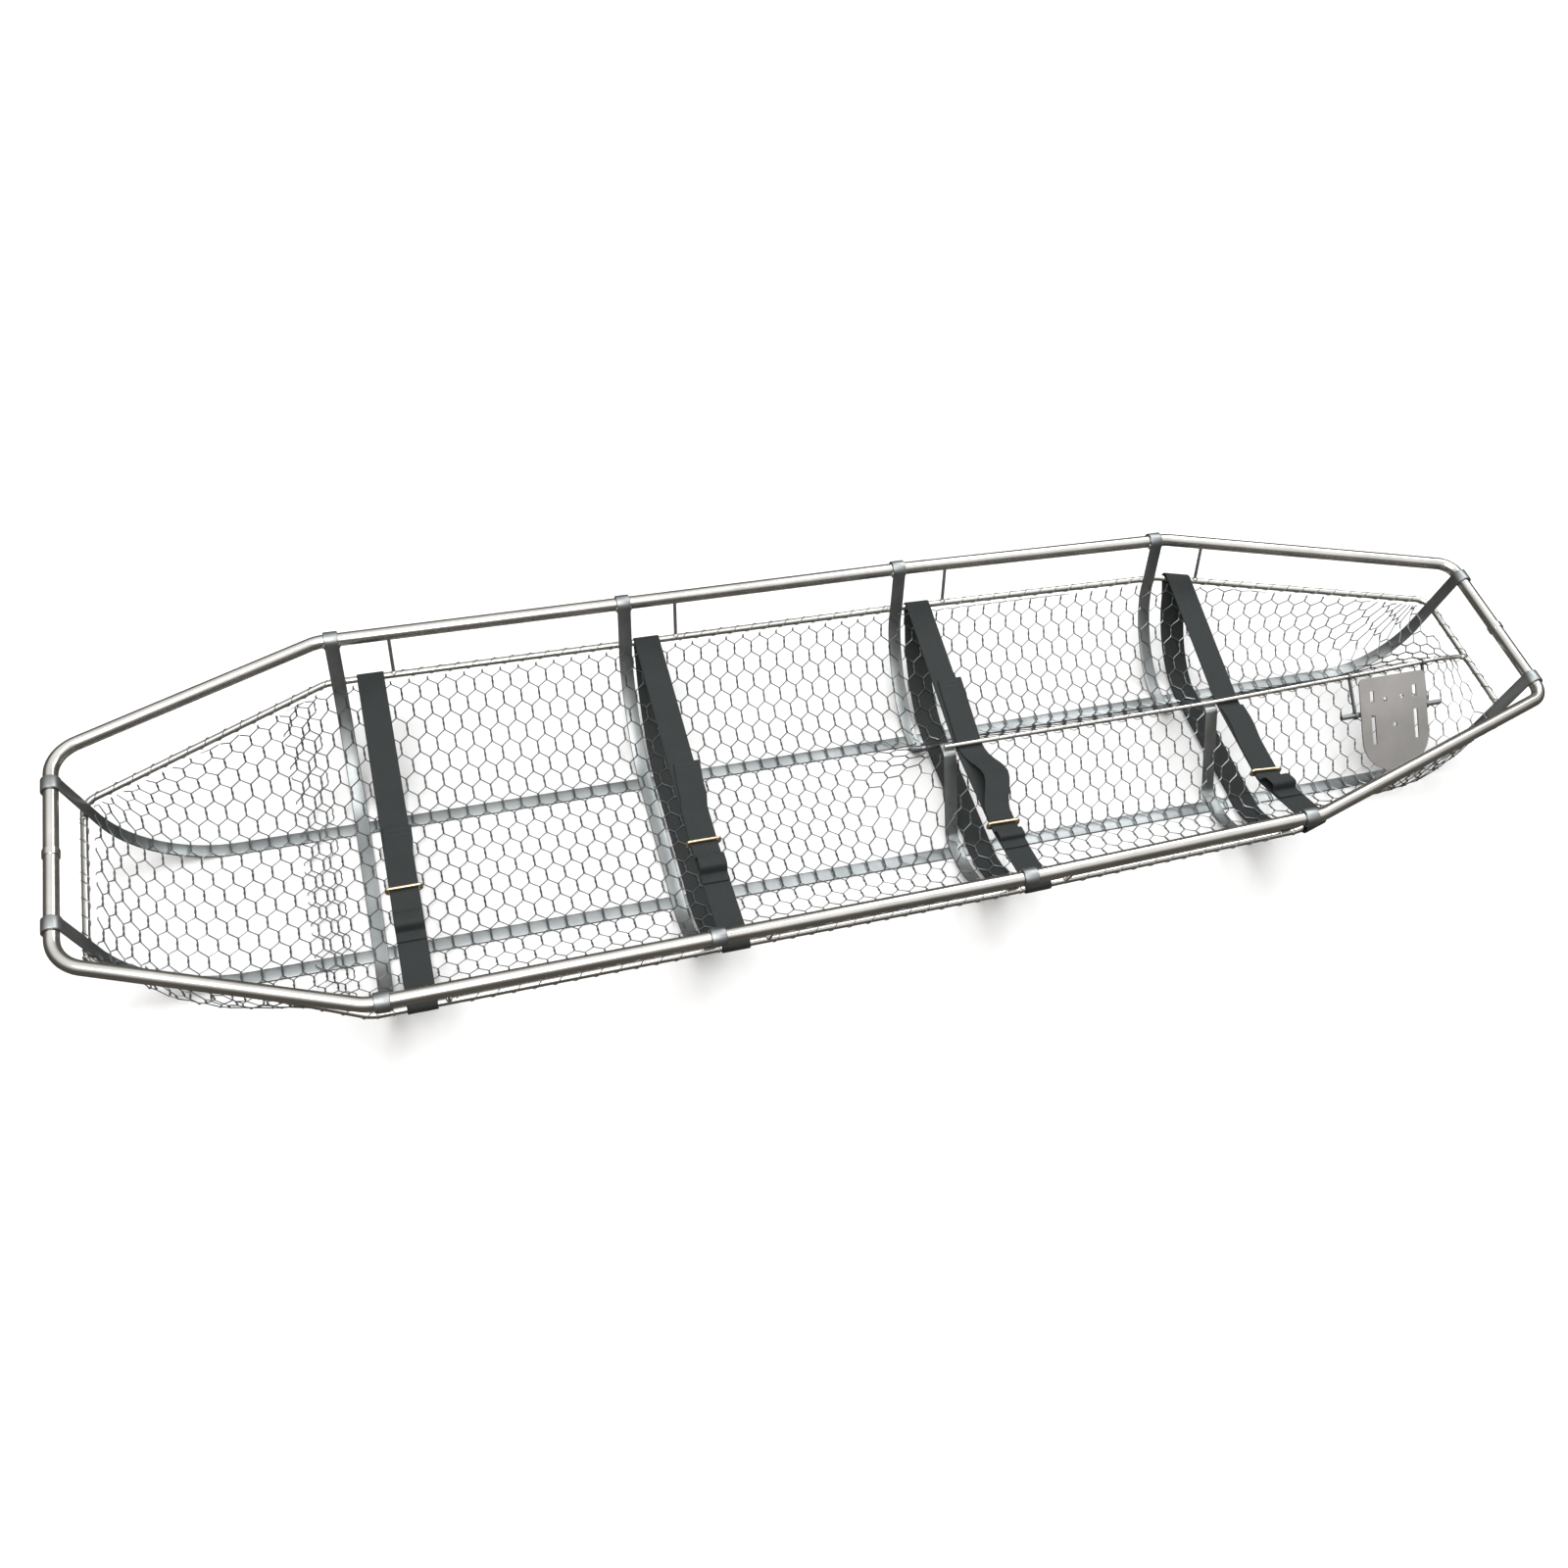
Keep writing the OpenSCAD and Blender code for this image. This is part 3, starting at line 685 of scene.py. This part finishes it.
def coil(shape, path, radius, pitch, wire, skip=()):
    """A lacing wire wound round a rod, left out where strips and straps cross it."""
    run = length_along(path)
    per_turn = 9
    count = int(run[-1] / pitch * per_turn)
    s = np.linspace(0, run[-1], count)
    centre = np.c_[[np.interp(s, run, path[:, k]) for k in range(3)]].T
    tangent = np.gradient(centre, axis=0)
    tangent /= np.linalg.norm(tangent, axis=1)[:, None]
    side = np.cross(tangent, [0, 0, 1.0])
    side /= np.linalg.norm(side, axis=1)[:, None]
    lift = np.cross(side, tangent)
    a = 2 * math.pi * np.arange(count) / per_turn
    points = centre + radius * (np.cos(a)[:, None] * side + np.sin(a)[:, None] * lift)
    free = np.ones(count, bool)
    for low, high in skip:
        free &= (centre[:, 0] < low) | (centre[:, 0] > high)
    keep = np.flatnonzero(free)
    for chunk in np.split(keep, np.flatnonzero(np.diff(keep) > 1) + 1):
        if len(chunk) > 4:
            shape.tube(points[chunk], wire, 5, up=(0.03, 0.02, 1))


def lacing():
    """Wire that ties the netting's edge to the lower rails and to the ridge."""
    shape = Shape()
    skip = [(x - 13 * MM, x + 13 * MM) for x in RIB_X]
    skip += [(x - 36 * MM, x + 40 * MM) for x in STRAP_X]
    skip += [(x + KEEPER_OFFSET - 5 * MM, x + KEEPER_OFFSET + 5 * MM) for x in RIB_X]
    for side in (1, -1):
        path = spread(LOWER_PATH, 20 * MM) * [1, side]
        coil(shape, np.c_[path, np.full(len(path), LOWER_Z)], LOWER_R + 0.9 * MM, MESH, LACING_R, skip)
    line = spread(RIDGE_LINE, 20 * MM)
    below_ridge = np.c_[line[:, 0], np.zeros(len(line)), line[:, 1] - 2 * MM]
    skip = [(x - 30 * MM, x + 30 * MM) for x in STRAP_X] + [(x - 12 * MM, x + 12 * MM) for x in RIB_X]
    coil(shape, below_ridge, RIDGE_R + 2.6 * MM, MESH, LACING_R, skip)
    shape.make("netting_lacing", GALVANISED, "frame")


# ---------------------------------------------------------------- straps and buckles
WEB_COLUMNS = np.array([-1, -0.985, -0.94, -0.7, -0.35, 0, 0.35, 0.7, 0.94, 0.985, 1])
WEB_EDGE = np.array([0.3, 0.75, 1, 1, 1, 1, 1, 1, 1, 0.75, 0.3])


def loop_r(n):
    return LOWER_R + WEB_GAP + (WEB_SLACK if n == 3 else 0) + WEB_T / 2


def ply_slope(n):
    return STRAP_DIP[n] / (float(lower_w(STRAP_X[n])) - 2 * MM)


def ply_z(n, y):
    return LOWER_Z + loop_r(n) - STRAP_DIP[n] + np.abs(y) * ply_slope(n)


def lean(n, y):
    """Sideways shift of strap n at y; none at either lower rail."""
    w = float(lower_w(STRAP_X[n]))
    peak = BUCKLE_Y[n] - LEAN_PAST
    return np.interp(y, [-w, peak, w], [0, -STRAP_LEAN[n], 0])


def lean_slope(n):
    return STRAP_LEAN[n] / (float(lower_w(STRAP_X[n])) - BUCKLE_Y[n] + LEAN_PAST)


def upper_lean(n, line):
    """The lean of the upper run only: the run below the basket stays square to it."""
    above = line[:, 1] > LOWER_Z - STRAP_DIP[n]
    return np.where(above, lean(n, line[:, 0]), 0)


def loop_path(n, x):
    """The whole strap at x: over the top, round the near rail, under the netting and back."""
    w, r = float(lower_w(x)), loop_r(n)
    top = LOWER_Z + r
    upper = round_path([[w - 2 * MM, top], [0, top - STRAP_DIP[n]], [2 * MM - w, top]],
                       [0, 0.06 if n > 1 else 0.9, 0], 12)
    under_z = STRIP_T + 0.5 * MM + WEB_T / 2
    inset = -WEB_SLACK if n == 3 else 0
    side = side_curve(x, inset, under_z, 30)[6:]
    far_down = np.vstack([arc([w, LOWER_Z], r, -4, -70, 8), side])
    lower = np.vstack([far_down, mirror(far_down)])[::-1]
    return np.vstack([
        arc([w, LOWER_Z], r, 4, 84, 10), resample(upper, 60), arc([-w, LOWER_Z], r, 96, 176, 10), lower])


def band(name, path_at, x_mid, body, replaces, closed, sway):
    """Flat webbing: path_at(x) is its line at each place across its width, sway its sideways shift."""
    lines = []
    for c in WEB_COLUMNS:
        x = x_mid + c * WEB_W / 2
        p = path_at(x)
        t = (np.roll(p, -1, 0) - np.roll(p, 1, 0)) if closed else np.gradient(p, axis=0)
        t /= np.linalg.norm(t, axis=1)[:, None]
        lines.append((x, p, np.c_[-t[:, 1], t[:, 0]]))
    m = len(lines[0][1])
    middle = lines[len(WEB_COLUMNS) // 2][1]
    run, shift = length_along(middle), sway(middle)
    verts, uv = [], []
    for face in (1, -1):
        for (x, p, nrm), e, c in zip(lines, WEB_EDGE, WEB_COLUMNS):
            q = p + face * nrm * WEB_T / 2 * e
            for k in range(m):
                verts.append((x + shift[k], q[k, 0], q[k, 1]))
                uv.append((run[k], c * WEB_W / 2))
    cols = len(WEB_COLUMNS)
    faces = []
    last = m if closed else m - 1
    under = cols * m
    for k in range(last):
        k2 = (k + 1) % m
        for c in range(cols - 1):
            a, b = c * m, (c + 1) * m
            faces.append((a + k, b + k, b + k2, a + k2))
            faces.append((under + a + k, under + a + k2, under + b + k2, under + b + k))
        edge_b = (cols - 1) * m
        faces.append((k, k2, under + k2, under + k))
        faces.append((edge_b + k, under + edge_b + k, under + edge_b + k2, edge_b + k2))
    if not closed:
        for c in range(cols - 1):
            a, b = c * m, (c + 1) * m
            faces.append((a, under + a, under + b, b))
            faces.append((a + m - 1, b + m - 1, under + b + m - 1, under + a + m - 1))
    return new_object(name, verts, faces, WEBBING, body, replaces, True, uv)


def tail_path(n):
    """The doubled end: free end, under the buckle, a fold, and down on to the strap again."""
    b, s, h = BUCKLE_Y[n], TAIL_START[n], PLY_RISE
    fold, rise, half = b - FOLD_AT[n], FOLD_RISE[n], FOLD_HALF[n]
    crown = half * 0.7
    points = [[s, h], [fold + half, h], [fold + crown, h + rise], [fold - crown, h + rise],
              [fold - half, h], [fold - half - 14 * MM, h]]
    soft = half * 0.55
    line = spread(round_path(points, [0, soft * 0.6, soft, soft, soft * 0.5, 0], 8), 12 * MM)
    if n == 2:
        away = np.clip((-line[:, 0] - 20 * MM) / (abs(b) - 40 * MM), 0, 1)
        line[:, 1] += ARCH_RISE * np.sin(math.pi * away) ** 2 * (line[:, 0] > b + 18 * MM)
    line[:, 1] += ply_z(n, line[:, 0])
    return line


def tail_offset(n, y):
    """A tail follows its strap's lean, and drifts toward the foot side at its free end."""
    start = BUCKLE_Y[n] + BUCKLE_TRAVEL[n] + 6 * MM
    bow = np.sin(math.pi * np.clip(y / start, 0, 1)) ** 2
    drift = np.clip((y - start) / (TAIL_START[n] - start), 0, 1)
    return TAIL_SWAY[n] * bow + TAIL_SHIFT[n] * drift + lean(n, y)


# Stitches to either side of the middle one, in each row
STITCH_SIDE = 8


def stitches():
    """Two rows of thread across each tail near its free end."""
    for n in range(4):
        shape = Shape()
        path = tail_path(n)
        for row in (5 * MM, 13 * MM):
            y = TAIL_START[n] - row
            z = float(np.interp(-y, -path[:, 0], path[:, 1])) + WEB_T / 2
            shift = float(tail_offset(n, np.array([y]))[0])
            for k in range(-STITCH_SIDE, STITCH_SIDE + 1):
                x = STRAP_X[n] + shift + k * WEB_W / 18.5
                shape.ball([x, y, z], 0.45 * MM, (1.9, 0.9, 0.7), 4, 6)
        shape.make(f"tail_stitches_{n + 1}", THREAD, f"strap_{n + 1}")


def straps():
    for n in range(4):
        word, body = n + 1, f"strap_{n + 1}"
        band(f"webbing_loop_{word}", lambda x, n=n: loop_path(n, x), STRAP_X[n], body,
             [f"strap_{word}_upper", f"strap_{word}_under"], True, lambda line, n=n: upper_lean(n, line))
        band(f"webbing_tail_{word}", lambda x, n=n: tail_path(n), STRAP_X[n], body,
             [f"strap_{word}_tail"], False, lambda line, n=n: tail_offset(n, line[:, 0]))


def buckles():
    """A brass ring round both plies of each strap, bent from round bar."""
    for n in range(4):
        y = BUCKLE_Y[n]
        centre = Vector((STRAP_X[n] + float(lean(n, y)), y, float(ply_z(n, y)) + PLY_RISE / 2))
        half_w = BUCKLE_W / 2 + BUCKLE_BAR / 2
        half_h = (PLY_RISE + WEB_T + 1.2 * MM) / 2 + BUCKLE_BAR / 2
        corner = 3 * MM
        loop = []
        for sx, sz, start in ((1, 1, 0), (-1, 1, 90), (-1, -1, 180), (1, -1, 270)):
            loop.extend(arc([sx * (half_w - corner), sz * (half_h - corner)], corner, start, start + 90, 6))
        tilt = -math.atan(ply_slope(n))
        turn = Quaternion((0, 0, 1), -math.atan(lean_slope(n)))
        pts = [centre + turn @ Vector((p, -q * math.sin(tilt), q * math.cos(tilt))) for p, q in loop]
        shape = Shape()
        shape.tube(np.array(pts), BUCKLE_BAR / 2, 12, closed=True, up=(0, 1, 0.01))
        shape.make(f"buckle_ring_{n + 1}", BRASS, f"buckle_{n + 1}", [f"buckle_{n + 1}"])


# ---------------------------------------------------------------- CAD nodes that stay
def finish_kept_nodes():
    kept = {"foot_plate": PLATE, "pivot_bar": ROLLED, "pivot_hanger_1": ROLLED, "pivot_hanger_2": ROLLED,
            "keepers_far": POLISHED, "keepers_near": POLISHED, "head_joint_ring": POLISHED,
            "foot_joint_ring": POLISHED, "head_spigot": ROLLED, "foot_spigot": ROLLED}
    for name, material in kept.items():
        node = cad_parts[name]
        for slot in node.material_slots:
            slot.material = material


# ---------------------------------------------------------------- floor, light and camera
def plain(name, colour, rough):
    mat, nodes, links, shader = node_material(name)
    coord = nodes.new("ShaderNodeTexCoord").outputs["Object"]
    grain = noise(nodes, links, coord, 3.0, 3.0)
    low = tuple(c * 0.985 for c in colour)
    links.new(ramp(nodes, links, grain, low, colour), shader.inputs["Base Color"])
    shader.inputs["Roughness"].default_value = rough
    return mat


def floor():
    mesh = bpy.data.meshes.new("floor")
    half = 9.0
    corners = [(-half, -half, 0), (half, -half, 0), (half, half, 0), (-half, half, 0)]
    mesh.from_pydata(corners, [], [(0, 1, 2, 3)])
    mesh.materials.append(plain("floor_paint", (0.93, 0.93, 0.93), 0.9))
    obj = bpy.data.objects.new("floor", mesh)
    obj.visible_glossy = False
    bpy.context.scene.collection.objects.link(obj)


def area_light(name, place, target, size, power, colour=(1, 1, 1)):
    data = bpy.data.lights.new(name, "AREA")
    data.shape = "RECTANGLE"
    data.size, data.size_y = size
    data.energy = power
    data.color = colour
    obj = bpy.data.objects.new(name, data)
    obj.location = place
    obj.rotation_mode = "QUATERNION"
    obj.rotation_quaternion = (Vector(target) - Vector(place)).to_track_quat("-Z", "Y")
    bpy.context.scene.collection.objects.link(obj)


def lights():
    area_light("key", (-1.2, -1.4, 3.4), (0, 0, 0.1), (3.2, 1.6), 82, (1.0, 0.99, 0.97))
    area_light("fill", (2.2, 1.8, 3.0), (0.2, 0, 0.1), (2.6, 1.4), 52, (0.97, 0.99, 1.0))
    area_light("top", (0, 0.2, 3.8), (0, 0, 0), (3.6, 0.7), 30)
    world = bpy.data.worlds.new("studio")
    world.use_nodes = True
    nodes, links = world.node_tree.nodes, world.node_tree.links
    back = nodes["Background"]
    coord = nodes.new("ShaderNodeTexCoord")
    split = nodes.new("ShaderNodeSeparateXYZ")
    links.new(coord.outputs["Generated"], split.inputs[0])
    sky = nodes.new("ShaderNodeValToRGB")
    stops = sky.color_ramp.elements
    stops[0].position, stops[0].color = 0.02, (0.11, 0.10, 0.09, 1)
    stops[1].position, stops[1].color = 0.80, (1.15, 1.15, 1.15, 1)
    middle = stops.new(0.36)
    middle.color = (0.22, 0.205, 0.185, 1)
    links.new(split.outputs["Z"], sky.inputs["Fac"])
    links.new(sky.outputs["Color"], back.inputs["Color"])
    back.inputs["Strength"].default_value = 1.0
    bpy.context.scene.world = world
    bpy.context.scene.view_settings.view_transform = "Standard"


def camera():
    data = bpy.data.cameras.new("camera")
    data.lens = 35.73
    data.sensor_width = 36
    obj = bpy.data.objects.new("camera", data)
    place = Vector((-0.624, -1.2435, 1.8877))
    look = Vector((0.2363, 0.5538, -0.7984))
    roll = math.radians(9.508)
    obj.location = place
    obj.rotation_mode = "QUATERNION"
    obj.rotation_quaternion = look.to_track_quat("-Z", "Y") @ Quaternion((0, 0, 1), roll)
    bpy.context.scene.collection.objects.link(obj)
    bpy.context.scene.camera = obj


camera()
rails()
ribs()
runners()
ridge()
welds()
netting()
lacing()
straps()
stitches()
buckles()
finish_kept_nodes()
floor()
lights()
